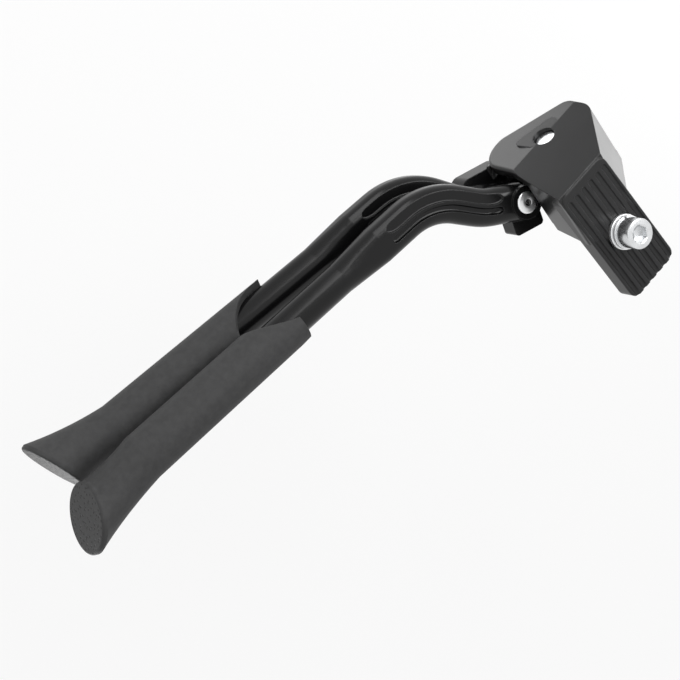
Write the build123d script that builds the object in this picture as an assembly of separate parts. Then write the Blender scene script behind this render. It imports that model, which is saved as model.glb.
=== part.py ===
from build123d import *
import math
import os

# Folding two-leg bicycle kickstand, modelled folded, in millimetres.
# The origin is on the mounting bolt's axis, on top of the ribbed clamp plate.
# +X points forward along the bicycle, +Y to its left and +Z up.
# Both legs swing down on a main pin that crosses the housing, and the right leg, which lies on top
# when folded, also spreads to the right on a rivet that the left leg's arm carries.

# Clamp plate
plate_width = 34.0
plate_front = 16.0
plate_length = 72.5
plate_left = 40.0
plate_thickness = 10.0
plate_corner = 5.0
plate_edge_round = 0.8
groove_count = 6
groove_pitch = 5.5
groove_radius = 1.7
groove_depth = 1.3
groove_end_margin = 4.5

# Mounting bolt and washers
bolt_diameter = 10.0
bolt_hole_clearance = 0.1
bolt_shank_length = 32.0
head_diameter = 16.0
head_height = 10.0
head_chamfer = 0.9
shank_chamfer = 0.9
socket_across_flats = 8.0
socket_depth = 5.5
flat_washer_diameter = 18.6
flat_washer_thickness = 1.8
spring_washer_diameter = 17.6
spring_washer_thickness = 2.4
spring_washer_split = 1.4
split_bearing = 75.0
split_slant = 25.0
washer_bore_clearance = 0.25
washer_seat_clearance = 0.5
washer_seat_depth = 0.4

# Main pivot: the pin's outer end in the housing's left face, and its tilt
pivot_x = 13.8
pivot_y = 52.6
pivot_z = -37.0
pivot_tilt = 8.0
swing_angle = 98.0
pin_diameter = 10.0
pin_head_diameter = 10.8
pin_head_thickness = 2.0
pin_head_recess = 2.0
pin_head_clearance = 0.4
pin_tail = 3.4
retaining_ring_width = 3.0
running_clearance = 0.05
face_clearance = 0.1

# Housing, measured in the plane square to the pin: across is +X, rise is up from the pin
housing_wall = 3.5
housing_rear = 26.9
housing_rear_lean = 0.135
housing_front = 27.4
housing_bottom = 29.2
housing_bottom_round = 15.4
bottom_corner = -7.5
front_corner_rise = 9.5
front_slope_run = 0.9
front_low_rise = -7.5
rear_round = 20.0
low_round = 10.0
front_low_round = 8.0
front_round = 12.0
plate_joint_round = 3.0
left_wall = 4.9
pin_boss_diameter = 22.0
pin_boss_height = 3.1
inner_width = 29.5
right_wall = 5.0
bevel_slope = 0.187
rear_window_rise = 10.0
right_lobe_radius = 11.0
right_lobe_round = 8.0
right_window_round = 4.0
right_front_low_rise = -1.5
right_front_low_round = 6.0
right_front_round = 10.0
cavity_corner_drop = 1.5
pad_slope = 0.09
pad_depth = 4.0
pad_corners = ((-8.6, 0.0), (-11.2, -14.8), (12.8, -6.3), (13.3, 0.0))
pad_round = 3.0
housing_edge_round = 2.4
plate_step = 0.9

# Left leg's hub on the main pin
thrust_washer_diameter = 21.0
thrust_washer_thickness = 1.0
bush_wall = 2.0
bush_flange_diameter = 19.0
bush_flange_thickness = 1.5
hub_diameter = 24.0
hub_length = 16.0
arm_width = 16.0
arm_end_diameter = 17.0

# Return spring round the main pin, between a pin in the housing and a pin in the left leg's arm
spring_wire = 1.4
spring_turns = 2
spring_pitch = 1.6
spring_gap = 0.3
spring_sleeve_wall = 1.2
spring_pin_diameter = 4.0
spring_pin_grip = 4.0
hook_pin_across = -20.0
hook_pin_rise = -13.0
anchor_pin_across = 15.0
anchor_pin_rise = 9.0

# Stops: a sleeved pin above the folded arm and a pad in front of the lowered arm
stop_pin_diameter = 5.0
stop_sleeve_diameter = 8.0
stop_sleeve_length = 16.0
stop_pin_along = 6.0
stop_pin_grip = 3.0
stop_clearance = 0.15
stop_pad_low = -8.5
stop_pad_high = 4.0
stop_pad_margin = 2.0

# Rivet that carries the right leg
rivet_x = -18.7
rivet_y = 36.7
spread_angle = 50.0
rivet_diameter = 8.0
rivet_head_diameter = 11.9
rivet_head_height = 2.2
rivet_head_chamfer = 0.5
rivet_head_gap = 0.45
rivet_bush_wall = 1.5
rivet_collar_diameter = 14.0
rivet_collar_height = 3.0
collar_room = 1.0
leg_spacer_thickness = 1.0
leg_spacer_diameter = 17.0
boss_diameter = 18.0
boss_rise = 1.2
head_room = 2.6
spread_wire = 1.3
spread_turns = 4
spread_pocket_diameter = 14.6
spread_pocket_depth = 6.5

# Legs
neck_width = 20.0
neck_height = 15.0
neck_round = 6.0
neck_bend_radius = 38.0
neck_dip = (-37.5, 50.2)
neck_dip_radius = 40.0
rod_diameter = 16.6
rod_blend_length = 26.0
right_leg_z = -40.0
left_leg_z = -61.5
right_elbow = (-57.9, 76.3)
left_elbow = (-56.0, 81.3)
right_rod_lift = -0.005
left_rod_lift = -0.05
right_rod_out = 0.102
left_rod_out = 0.122
rod_run_to_blend = 17.0
panel_width = 6.2
panel_depth = 1.1
panel_round = 0.65
panel_offset = -5.0
panel_tip = 14.0
channel_width = 3.6
channel_depth = 2.0
channel_round = 1.2
channel_offset = 1.6
channel_tip = 4.6
panel_start = 14.0
panel_end = 6.0
lug_reach = 15.6
lug_rear_angle = 223.5
lug_front_angle = 276.0
lug_tip_radius = 2.2
lug_height = 10.5
lug_room = 0.7
right_shoulder = (-27.0, 52.5)
left_shoulder_rear = (-27.5, 53.5)
left_shoulder_front = (-9.0, 47.0)
shoulder_radius = 5.5
shoulder_height = 12.0
shoulder_clearance = 1.2

# Foot sleeves
ground_z = -313.5
sleeve_length = 137.0
sleeve_top_diameter = 23.8
sleeve_low_diameter = 24.8
flare_length = 36.0
flare_sections = 4
flare_hollow = 2.4
sole_width = 36.0
sole_length = 35.5
sole_shift = 5.0
sole_lip = 2.5
sole_lip_round = 1.2
tongue_length = 30.0
tongue_flat = 9.6
tongue_waist = (1.5, 18.0)
left_tongue = (0, 0.5, -0.86)
right_tongue = (0, -0.26, 0.965)
rod_cover = 118.0


# Direction of the main pin, from its left end towards the right
pin_direction = Vector(0, -1, 0).rotate(Axis.X, pivot_tilt)
pivot_origin = Vector(pivot_x, pivot_y, pivot_z)
pivot_plane = Plane(origin=pivot_origin, x_dir=(1, 0, 0), z_dir=pin_direction)
swing_axis = Axis(pivot_origin, pin_direction)
rivet_axis = Axis((rivet_x, rivet_y, 0), (0, 0, 1))

# Stations along the pin, counted from the crease on the housing's left face
boss_face = left_wall + pin_boss_height
outer_washer_start = boss_face + face_clearance
outer_flange_start = outer_washer_start + thrust_washer_thickness + face_clearance
hub_start = outer_flange_start + bush_flange_thickness
hub_end = hub_start + hub_length
inner_flange_end = hub_end + bush_flange_thickness
right_wall_start = left_wall + inner_width
right_wall_end = right_wall_start + right_wall
inner_washer_start = right_wall_start - face_clearance - thrust_washer_thickness
pin_end = right_wall_end + pin_tail
bush_diameter = pin_diameter + 2 * bush_wall

# Heights of the two legs on the rivet
right_leg_low = right_leg_z - neck_height / 2
right_leg_high = right_leg_z + neck_height / 2
seat_z = right_leg_low - leg_spacer_thickness
left_leg_low = left_leg_z - neck_height / 2
rivet_head_seat = right_leg_high
boss_top = right_leg_high + boss_rise
rivet_bush_diameter = rivet_diameter + 2 * rivet_bush_wall
far_away = 200.0
overcut = 1.0


def pin_disc(diameter, start, length):
    """A disc on the main pin's axis."""
    disc = Cylinder(diameter / 2, length, align=(Align.CENTER, Align.CENTER, Align.MIN))
    return pivot_plane.offset(start) * disc


def pin_ring(outer, inner, start, length):
    return pin_disc(outer, start, length) - pin_disc(inner, start, length)


def upright(diameter, low, high, x=rivet_x, y=rivet_y):
    """A vertical cylinder, on the rivet's axis unless placed elsewhere."""
    bar = Cylinder(diameter / 2, high - low, align=(Align.CENTER, Align.CENTER, Align.MIN))
    return Pos(x, y, low) * bar


def outline(points, radii):
    return make_face(FilletPolyline(*points, radius=radii, close=True))


def above(z):
    """Everything higher than z, to cut with."""
    block = Box(2 * far_away, 2 * far_away, far_away, align=(Align.CENTER, Align.CENTER, Align.MIN))
    return Pos(0, 0, z) * block


def housing_top_rise():
    """Rise at which every housing outline is safely inside the clamp plate."""
    return -pivot_z + plate_thickness / 2


def front_slope_at(rise):
    return housing_front - (rise - front_corner_rise) * front_slope_run


def rear_edge_at(rise):
    return -housing_rear - max(rise, 0) * housing_rear_lean


def housing_outline():
    top = housing_top_rise()
    points = [
        (rear_edge_at(top), top),
        (-housing_rear, 0),
        (-housing_rear, -housing_bottom),
        (bottom_corner, -housing_bottom),
        (housing_front, front_low_rise),
        (housing_front, front_corner_rise),
        (front_slope_at(top), top),
    ]
    radii = [
        plate_joint_round,
        rear_round,
        housing_bottom_round,
        low_round,
        front_low_round,
        front_round,
        plate_joint_round,
    ]
    return outline(points, radii)


def housing_reach():
    """Largest distance from the pin to the rounded corner at the left wall's bottom rear."""
    across = housing_rear - housing_bottom_round
    drop = housing_bottom - housing_bottom_round
    return math.hypot(across, drop) + housing_bottom_round


def right_wall_outline():
    top = housing_top_rise()
    points = [
        (rear_edge_at(top), top),
        (rear_edge_at(rear_window_rise), rear_window_rise),
        (-right_lobe_radius, -right_lobe_radius),
        (right_lobe_radius, -right_lobe_radius),
        (housing_front, right_front_low_rise),
        (housing_front, front_corner_rise),
        (front_slope_at(top), top),
    ]
    radii = [
        plate_joint_round,
        right_window_round,
        right_lobe_round,
        right_lobe_round,
        right_front_low_round,
        right_front_round,
        plate_joint_round,
    ]
    return outline(points, radii)


def cavity():
    """Hollow of the housing, open below, with a window at the rear for the legs."""
    top = housing_top_rise()
    rear_inside = -housing_rear + housing_wall
    front_inside = housing_front - housing_wall
    slope_shift = housing_wall * math.hypot(1, front_slope_run)
    points = [
        (rear_edge_at(top) + housing_wall, top),
        (rear_inside, 0),
        (rear_inside, -far_away),
        (front_inside, -far_away),
        (front_inside, front_corner_rise - cavity_corner_drop),
        (front_slope_at(top) - slope_shift, top),
    ]
    main = make_face(Polyline(*points, close=True))
    window = Polyline(
        (-far_away, rear_window_rise),
        (rear_inside + overcut, rear_window_rise),
        (rear_inside + overcut, -far_away),
        (-far_away, -far_away),
        close=True,
    )
    hollow = extrude(pivot_plane.offset(left_wall) * (main + make_face(window)), inner_width)
    hollow -= above(-plate_thickness)
    hollow -= bevel_wedge(left_wall)
    return hollow - pin_disc(pin_boss_diameter, left_wall, pin_boss_height)


def bevel_wedge(depth):
    """Left of the sloping upper facet, moved inwards by depth."""
    reach = far_away / 2
    side = Polyline(
        (0, depth - reach),
        (0, depth),
        (reach, depth + reach * bevel_slope),
        (reach, depth - reach),
        close=True,
    )
    facet_plane = Plane(
        origin=pivot_origin - Vector(reach, 0, 0), x_dir=pivot_plane.y_dir, z_dir=(1, 0, 0)
    )
    wedge = extrude(facet_plane * make_face(side), 2 * reach)
    return wedge


def clamp_plate():
    centre_x = plate_front - plate_width / 2
    centre_y = plate_left - plate_length / 2
    sheet = RectangleRounded(plate_width, plate_length, plate_corner)
    plate = extrude(Pos(centre_x, centre_y, -plate_thickness) * sheet, plate_thickness)
    plate = fillet(plate.faces().sort_by(Axis.Z)[-1].outer_wire().edges(), plate_edge_round)
    groove_run = plate_length - groove_end_margin
    first = centre_x - groove_pitch * (groove_count - 1) / 2
    sink = groove_radius - groove_depth
    for index in range(groove_count):
        x = first + index * groove_pitch
        start = plate_left - groove_end_margin - groove_radius
        bar = extrude(Plane.ZX * Circle(groove_radius), -groove_run)
        plate -= Pos(x, start, sink) * bar
        plate -= Pos(x, start, sink) * Sphere(groove_radius)
    return plate


def pin_pad():
    """Low pad round the pin's end, below the crease of the left face."""
    slanted = pin_direction - pivot_plane.y_dir * pad_slope
    face = Plane(origin=pivot_origin, x_dir=(1, 0, 0), z_dir=slanted)
    return extrude(face * outline(pad_corners, pad_round), pad_depth)


def mount_housing():
    left_block = extrude(pivot_plane * housing_outline(), right_wall_start)
    left_rim = left_block.faces().sort_by(swing_axis)[0].edges()
    left_block = fillet(left_rim, housing_edge_round) - bevel_wedge(0)
    left_block += pin_pad()
    right_plate = extrude(pivot_plane.offset(right_wall_start) * right_wall_outline(), right_wall)
    body = left_block + right_plate - above(-plate_step)
    body -= cavity()
    body += clamp_plate()
    hole = bolt_diameter + 2 * bolt_hole_clearance
    seat = flat_washer_diameter + 2 * washer_seat_clearance
    body -= upright(hole, -plate_thickness - overcut, overcut, 0, 0)
    body -= upright(seat, -washer_seat_depth, far_away, 0, 0)
    body -= pin_disc(pin_diameter, -overcut, pin_end)
    head_pocket = pin_head_diameter + 2 * pin_head_clearance
    body -= pin_disc(head_pocket, -far_away, far_away + pin_head_recess + pin_head_thickness)
    pin_hole_end = right_wall_end + overcut
    body -= pin_stub(anchor_pin_across, anchor_pin_rise, right_wall_start - overcut, pin_hole_end)
    return body - stop_bar(stop_pin_diameter, stop_pin_start(), pin_hole_end)


def mount_bolt():
    head_base = flat_washer_top() + spring_washer_thickness
    head = upright(head_diameter, head_base, head_base + head_height, 0, 0)
    head = chamfer(head.faces().sort_by(Axis.Z)[-1].edges(), head_chamfer)
    shank = upright(bolt_diameter, head_base - bolt_shank_length, head_base, 0, 0)
    shank = chamfer(shank.faces().sort_by(Axis.Z)[0].edges(), shank_chamfer)
    hexagon = RegularPolygon(socket_across_flats / 2, 6, major_radius=False)
    socket = extrude(Pos(0, 0, head_base + head_height) * hexagon, -socket_depth)
    return head + shank - socket


def flat_washer_top():
    return flat_washer_thickness - washer_seat_depth


def flat_washer():
    bore = bolt_diameter + 2 * washer_bore_clearance
    low = -washer_seat_depth
    high = flat_washer_top()
    return upright(flat_washer_diameter, low, high, 0, 0) - upright(bore, low, high, 0, 0)


def spring_washer():
    low = flat_washer_top()
    high = low + spring_washer_thickness
    bore = bolt_diameter + 2 * washer_bore_clearance
    ring = upright(spring_washer_diameter, low, high, 0, 0) - upright(bore, low, high, 0, 0)
    outwards = (Align.MIN, Align.CENTER, Align.CENTER)
    slit = Box(spring_washer_diameter, spring_washer_split, far_away, align=outwards)
    return ring - Rot(0, 0, split_bearing) * Rot(split_slant, 0, 0) * slit


def main_pivot_pin():
    head_end = pin_head_recess + pin_head_thickness
    return pin_disc(pin_head_diameter, pin_head_recess, pin_head_thickness) + pin_disc(
        pin_diameter, head_end, pin_end - head_end
    )


def pivot_retaining_ring():
    start = right_wall_end + face_clearance
    return pin_ring(pin_diameter + 2 * retaining_ring_width, pin_diameter, start, thrust_washer_thickness)


def pivot_bush(flange_start, sleeve_start):
    bore = pin_diameter + 2 * running_clearance
    flange = pin_ring(bush_flange_diameter, bore, flange_start, bush_flange_thickness)
    return flange + pin_ring(bush_diameter, bore, sleeve_start, hub_length / 2 - face_clearance)


def thrust_washer(start):
    bore = pin_diameter + 2 * washer_bore_clearance
    return pin_ring(thrust_washer_diameter, bore, start, thrust_washer_thickness)


def pin_stub(across, rise, start, end):
    """A spring's pin, parallel to the main pin."""
    stub = Cylinder(spring_pin_diameter / 2, end - start, align=(Align.CENTER, Align.CENTER, Align.MIN))
    return pivot_plane.offset(start) * Pos(across, rise) * stub


def stop_place():
    """Where the stop bar crosses the pin's plane: it just clears the folded arm's upper side."""
    seat = pivot_plane.to_local_coords(Vector(rivet_x, rivet_y, left_leg_z))
    reach = math.hypot(seat.X, seat.Y)
    narrowing = math.asin((hub_diameter - arm_end_diameter) / 2 / reach)
    heading = math.atan2(seat.Y, seat.X) + narrowing
    away = hub_diameter / 2 + stop_sleeve_diameter / 2 + stop_clearance
    across = stop_pin_along * math.cos(heading) + away * math.sin(heading)
    rise = stop_pin_along * math.sin(heading) - away * math.cos(heading)
    return across, rise


def stop_pin_start():
    """Blind end of the stop bar's hole in the sloping left wall."""
    return left_wall + stop_place()[1] * bevel_slope - stop_pin_grip


def stop_bar(diameter, start, end):
    """A bar parallel to the main pin."""
    bar = Cylinder(diameter / 2, end - start, align=(Align.CENTER, Align.CENTER, Align.MIN))
    return pivot_plane.offset(start) * Pos(*stop_place()) * bar


def fold_stop_pin():
    return stop_bar(stop_pin_diameter, stop_pin_start(), right_wall_end)


def fold_stop_sleeve():
    ring = stop_bar(stop_sleeve_diameter, hub_start, hub_start + stop_sleeve_length)
    return ring - stop_bar(stop_pin_diameter, hub_start, hub_start + stop_sleeve_length)


def tang_angle(across, rise, side):
    """Where a straight tang from a spring pin meets the coil, and the point where it ends."""
    bearing = math.atan2(rise, across)
    shift = side * (spring_pin_diameter + spring_wire) / 2
    end = (across - shift * math.sin(bearing), rise + shift * math.cos(bearing))
    span = math.acos(coil_radius() / math.hypot(*end))
    return math.atan2(end[1], end[0]) + side * span, end


def coil_radius():
    bore = pin_diameter + 2 * (running_clearance + spring_sleeve_wall)
    return bore / 2 + spring_gap + spring_wire / 2


def wire_along(path, diameter):
    """A round wire along a path."""
    return sweep(Plane(origin=path @ 0, z_dir=path % 0) * Circle(diameter / 2), path=path)


def return_spring():
    """Torsion spring: two straight tangs and a coil round the sleeve on the main pin."""
    low_angle, low_end = tang_angle(hook_pin_across, hook_pin_rise, 1)
    high_angle, high_end = tang_angle(anchor_pin_across, anchor_pin_rise, -1)
    turns = spring_turns + (high_angle - low_angle) / (2 * math.pi) % 1
    coil = Rot(0, 0, math.degrees(low_angle)) * Helix(spring_pitch, spring_pitch * turns, coil_radius())
    slope = spring_pitch / (2 * math.pi * coil_radius())
    low_run = math.dist(low_end, tuple(coil @ 0)[:2])
    high_run = math.dist(high_end, tuple(coil @ 1)[:2])
    low_tang = Line((*low_end, -low_run * slope), coil @ 0)
    high_tang = Line(coil @ 1, (*high_end, spring_pitch * turns + high_run * slope))
    wire = wire_along(Wire([low_tang.edge(), coil.edge(), high_tang.edge()]), spring_wire)
    room = inner_washer_start - inner_flange_end
    return pivot_plane.offset(inner_flange_end + (room - spring_pitch * turns) / 2) * wire


def spread_spring():
    """Torsion spring in the pocket under the right leg that opens it sideways."""
    radius = (spread_pocket_diameter - spread_wire) / 2 - spring_gap
    height = spread_pocket_depth - spread_wire - 2 * spring_gap
    low = seat_z - spread_pocket_depth + spring_gap + spread_wire / 2
    coil = Helix(height / spread_turns, height, radius)
    return Pos(rivet_x, rivet_y, low) * wire_along(coil, spread_wire)


def spring_hook_pin():
    return pin_stub(hook_pin_across, hook_pin_rise, hub_end - spring_pin_grip, inner_washer_start)


def spring_anchor_pin():
    return pin_stub(anchor_pin_across, anchor_pin_rise, inner_flange_end, right_wall_end)


def down_stop_pad():
    """Rubber block on the front wall's inside that the lowered arm comes up to."""
    seat = pivot_plane.to_local_coords(Vector(rivet_x, rivet_y, left_leg_z))
    reach = math.hypot(seat.X, seat.Y)
    narrowing = math.asin((hub_diameter - arm_end_diameter) / 2 / reach)
    heading = math.atan2(seat.Y, seat.X) + math.radians(swing_angle) - narrowing
    lean = math.tan(heading)
    away = (hub_diameter / 2 + stop_clearance) / math.sin(-heading)
    front = housing_front - housing_wall
    face = [(away + rise / lean, rise) for rise in (stop_pad_high, stop_pad_low)]
    block = Polyline(face[0], face[1], (front, stop_pad_low), (front, stop_pad_high), close=True)
    return extrude(pivot_plane.offset(hub_start) * make_face(block), hub_length - stop_pad_margin)


def spring_sleeve():
    bore = pin_diameter + 2 * running_clearance
    start = inner_flange_end + face_clearance
    length = inner_washer_start - face_clearance - start
    return pin_ring(bore + 2 * spring_sleeve_wall, bore, start, length)


def neck_path(z, elbow, out):
    """Centre line of a leg's neck: from the rivet, past a dip, to its elbow and a little along the rod."""
    rod = Vector(-1, out, 0).normalized() * (rod_run_to_blend + neck_bend_radius / 2)
    corner = Vector(*elbow, z)
    points = ((rivet_x, rivet_y, z), (*neck_dip, z), corner, corner + rod)
    return FilletPolyline(*points, radius=(neck_dip_radius, neck_bend_radius))


def swept(path, width, height, radius, offset=0.0, lift=0.0):
    """A rounded bar along a level path, shifted to the path's right and up."""
    start = path @ 0
    plane = Plane(origin=start, x_dir=Vector(0, 0, 1).cross(path % 0), z_dir=path % 0)
    section = plane * Pos(offset, lift) * RectangleRounded(width, height, radius)
    return sweep(section, path=path)


def leg_rod(path, out, lift):
    """The round rod, and its blend from the neck's section."""
    end = path @ 1
    plane = Plane(origin=end, x_dir=Vector(0, 0, 1).cross(path % 1), z_dir=path % 1)
    direction = Vector(-1, out, lift).normalized()
    start = end + direction * rod_blend_length
    rod_plane = Plane(origin=start, x_dir=Vector(0, 0, 1).cross(direction), z_dir=direction)
    oval = plane * RectangleRounded(neck_width, neck_height, neck_round)
    blend = loft([oval.face(), (rod_plane * Circle(rod_diameter / 2)).face()])
    return blend, rod_plane


def top_panels(path):
    """Cuts for the forged panel and channel in the top of a neck."""
    panel = forged_panel(path, panel_width, panel_depth, panel_round, panel_offset, panel_tip)
    return panel + forged_panel(
        path, channel_width, channel_depth, channel_round, channel_offset, channel_tip
    )


def forged_panel(path, width, depth, radius, offset, tip):
    """Shallow cuts along the top of a neck: a bar, and an oval at each end."""
    top = neck_height / 2
    first = (panel_start + tip / 2) / path.length
    last = 1 - (panel_end + tip / 2) / path.length
    run = path.trim(first, last)
    cuts = [swept(run, width, 2 * depth, radius, offset, top)]
    for share in (0, 1):
        heading = run % share
        centre = run @ share + Vector(0, 0, 1).cross(heading) * offset + Vector(0, 0, top - depth)
        block = extrude(Plane(origin=centre, x_dir=heading, z_dir=(0, 0, 1)) * oval(tip, width), 2 * depth)
        cuts.append(fillet(block.edges(), radius))
    return cuts


def rod_end(rod_plane, sole):
    """How far the rod runs: its cover inside the sleeve, measured from the sleeve's top."""
    axial = (sole.origin - rod_plane.origin).dot(rod_plane.z_dir)
    return axial - sleeve_length + rod_cover


def sole_plane(rod_plane, unfold):
    """The ground under the standing stand, carried back to the folded pose, where the rod meets it."""
    ground = Vertex(0, 0, ground_z)
    step = Vertex(0, 0, ground_z - 1)
    for axis, angle in unfold:
        ground = ground.rotate(axis, -angle)
        step = step.rotate(axis, -angle)
    point = Vector(*ground.center())
    normal = (Vector(*step.center()) - point).normalized()
    reach = (point - rod_plane.origin).dot(normal) / rod_plane.z_dir.dot(normal)
    return Plane(origin=rod_plane.origin + rod_plane.z_dir * reach, z_dir=normal)


def leg(path, out, lift, unfold):
    blend, rod_plane = leg_rod(path, out, lift)
    sole = sole_plane(rod_plane, unfold)
    length = rod_end(rod_plane, sole)
    rod = rod_plane * Cylinder(rod_diameter / 2, length, align=(Align.CENTER, Align.CENTER, Align.MIN))
    neck = swept(path, neck_width, neck_height, neck_round)
    for cut in top_panels(path):
        neck -= cut
    return neck + blend + rod, rod_plane, sole


def oval(length, width):
    return scale(Circle(1), by=(length / 2, width / 2, 1))


def flare_section(ankle, foot, share):
    """A section of the flare, which turns and widens from the ankle's circle to the sole's oval."""
    widening = share**flare_hollow
    length = sleeve_low_diameter + (sole_length - sleeve_low_diameter) * widening
    width = sleeve_low_diameter + (sole_width - sleeve_low_diameter) * widening
    centre = ankle.origin + (foot.origin - ankle.origin) * share
    normal = ankle.z_dir * (1 - share) + foot.z_dir * share
    return (Plane(origin=centre, x_dir=foot.x_dir, z_dir=normal) * oval(length, width)).face()


def foot_sleeve(rod_plane, sole, tongue):
    """A moulded sleeve on the rod, with a tongue at its top and a slanted flared sole."""
    axis = rod_plane.z_dir
    top = sole.origin - axis * sleeve_length
    side = (Vector(*tongue) - axis * axis.dot(Vector(*tongue))).normalized()
    frame = Plane(origin=top, x_dir=side, z_dir=axis)
    straight = sleeve_length - flare_length
    body = frame * Cone(
        sleeve_top_diameter / 2,
        sleeve_low_diameter / 2,
        straight,
        align=(Align.CENTER, Align.CENTER, Align.MIN),
    )
    lean = (axis - sole.z_dir * axis.dot(sole.z_dir)).normalized()
    foot = Plane(origin=sole.origin + lean * sole_shift, x_dir=lean, z_dir=sole.z_dir)
    ankle = frame.offset(straight)
    last = flare_sections - 1
    lip_top = foot.offset(-sole_lip)
    flare = loft([flare_section(ankle, lip_top, step / last) for step in range(flare_sections)])
    lip = extrude(foot * oval(sole_length, sole_width), -sole_lip)
    lip = fillet(lip.edges().sort_by(Axis(foot.origin, foot.z_dir))[-1], sole_lip_round)
    socket = frame * Cylinder(rod_diameter / 2, rod_cover, align=(Align.CENTER, Align.CENTER, Align.MIN))
    return body - tongue_cut(top, side, axis) + flare + lip - socket


def tongue_cut(top, side, axis):
    """What is cut from a sleeve's top to leave its tongue on one side."""
    half = sleeve_low_diameter
    low_end = (-half / 2, tongue_length)
    curve = ThreePointArc((tongue_flat, 0), tongue_waist, low_end)
    border = Polyline(
        low_end,
        (-half, tongue_length),
        (-half, -half),
        (half, -half),
        (half, 0),
        (tongue_flat, 0),
    )
    side_plane = Plane(origin=top, x_dir=side, z_dir=side.cross(axis))
    return extrude(side_plane * make_face([curve, *border.edges()]), half, both=True)


right_path = neck_path(right_leg_z, right_elbow, right_rod_out)
left_path = neck_path(left_leg_z, left_elbow, left_rod_out)
left_unfold = [(swing_axis, swing_angle)]
right_unfold = [(swing_axis, swing_angle), (rivet_axis, spread_angle)]


def lug_tip(angle, radius=lug_tip_radius):
    """A corner of the right leg's lug, as a circle in plan."""
    turn = math.radians(angle)
    x = rivet_x + lug_reach * math.cos(turn)
    y = rivet_y + lug_reach * math.sin(turn)
    return (Pos(x, y) * Circle(radius)).edge()


def lug_sweep():
    """Room in the left leg's arm for the lug while the right leg spreads."""
    angles = [lug_front_angle + spread_angle * step / 3 for step in range(4)]
    tips = [lug_tip(angle, lug_tip_radius + lug_room) for angle in angles]
    root = (Pos(rivet_x, rivet_y) * Circle(boss_diameter / 2)).edge()
    height = leg_spacer_thickness + lug_height + lug_room
    return extrude(Pos(0, 0, seat_z) * make_hull([root, *tips]), height)


def left_leg():
    """Neck, rod, and the arm that rises to the hub on the main pin."""
    body, rod_plane, sole = leg(left_path, left_rod_out, left_rod_lift, left_unfold)
    seat = pivot_plane.to_local_coords(Vector(rivet_x, rivet_y, left_leg_z))
    profile = make_hull(
        [Circle(hub_diameter / 2).edge(), (Pos(seat.X, seat.Y) * Circle(arm_end_diameter / 2)).edge()]
    )
    arm = extrude(pivot_plane.offset(hub_start) * profile, arm_width)
    body += arm + pin_disc(hub_diameter, hub_start, hub_length)
    rear = Pos(*left_shoulder_rear) * Circle(shoulder_radius)
    front = Pos(*left_shoulder_front) * Circle(shoulder_radius)
    root = Pos(rivet_x, rivet_y) * Circle(boss_diameter / 2)
    shoulder = make_hull([rear.edge(), front.edge(), root.edge()])
    sweep_room = 2 * (housing_reach() + shoulder_clearance)
    plate = extrude(Pos(0, 0, left_leg_low) * shoulder, shoulder_height)
    body += plate - pin_disc(sweep_room, -far_away, far_away + boss_face)
    body += upright(boss_diameter, left_leg_low, seat_z)
    body -= upright(boss_diameter + 2 * head_room, seat_z, boss_top + head_room)
    body -= lug_sweep()
    body -= pin_disc(bush_diameter, hub_start - overcut, hub_length + 2 * overcut)
    body -= upright(rivet_diameter, left_leg_low - overcut, seat_z + overcut)
    body -= upright(spread_pocket_diameter, seat_z - spread_pocket_depth, seat_z + overcut)
    body -= upright(rivet_collar_diameter + 2 * collar_room, left_leg_low - far_away, left_leg_low)
    body -= pin_stub(hook_pin_across, hook_pin_rise, hub_end - spring_pin_grip, hub_end + overcut)
    return body, rod_plane, sole


def right_leg():
    """Neck, rod, and the head with its boss, lug and shoulder round the rivet."""
    body, rod_plane, sole = leg(right_path, right_rod_out, right_rod_lift, right_unfold)
    rear_tip = lug_tip(lug_rear_angle)
    front_tip = lug_tip(lug_front_angle)
    boss = Pos(rivet_x, rivet_y) * Circle(boss_diameter / 2)
    shoulder = Pos(*right_shoulder) * Circle(shoulder_radius)
    head = extrude(Pos(0, 0, right_leg_low) * make_hull([boss.edge(), rear_tip, front_tip]), lug_height)
    head += extrude(Pos(0, 0, right_leg_low) * make_hull([boss.edge(), shoulder.edge()]), shoulder_height)
    body += head + upright(boss_diameter, right_leg_low, boss_top)
    head_pocket = rivet_head_diameter + 2 * rivet_head_gap
    body -= upright(head_pocket, rivet_head_seat, boss_top + overcut)
    body -= upright(rivet_bush_diameter, right_leg_low - overcut, boss_top)
    return body, rod_plane, sole


def rivet_bush():
    bore = rivet_diameter + 2 * running_clearance
    high = rivet_head_seat - face_clearance
    return upright(rivet_bush_diameter, right_leg_low, high) - upright(bore, right_leg_low, high)


def leg_pivot_rivet():
    low = left_leg_low - rivet_collar_height
    head = upright(rivet_head_diameter, rivet_head_seat, rivet_head_seat + rivet_head_height)
    head = chamfer(head.faces().sort_by(Axis.Z)[-1].edges(), rivet_head_chamfer)
    return head + upright(rivet_diameter, low, rivet_head_seat)


def rivet_collar():
    low = left_leg_low - rivet_collar_height
    return upright(rivet_collar_diameter, low, left_leg_low) - upright(rivet_diameter, low, left_leg_low)


def leg_spacer_washer():
    bore = rivet_diameter + 2 * washer_bore_clearance
    high = right_leg_low - face_clearance
    return upright(leg_spacer_diameter, seat_z, high) - upright(bore, seat_z, high)


left_solid, left_rod_plane, left_sole = left_leg()
right_solid, right_rod_plane, right_sole = right_leg()

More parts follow.
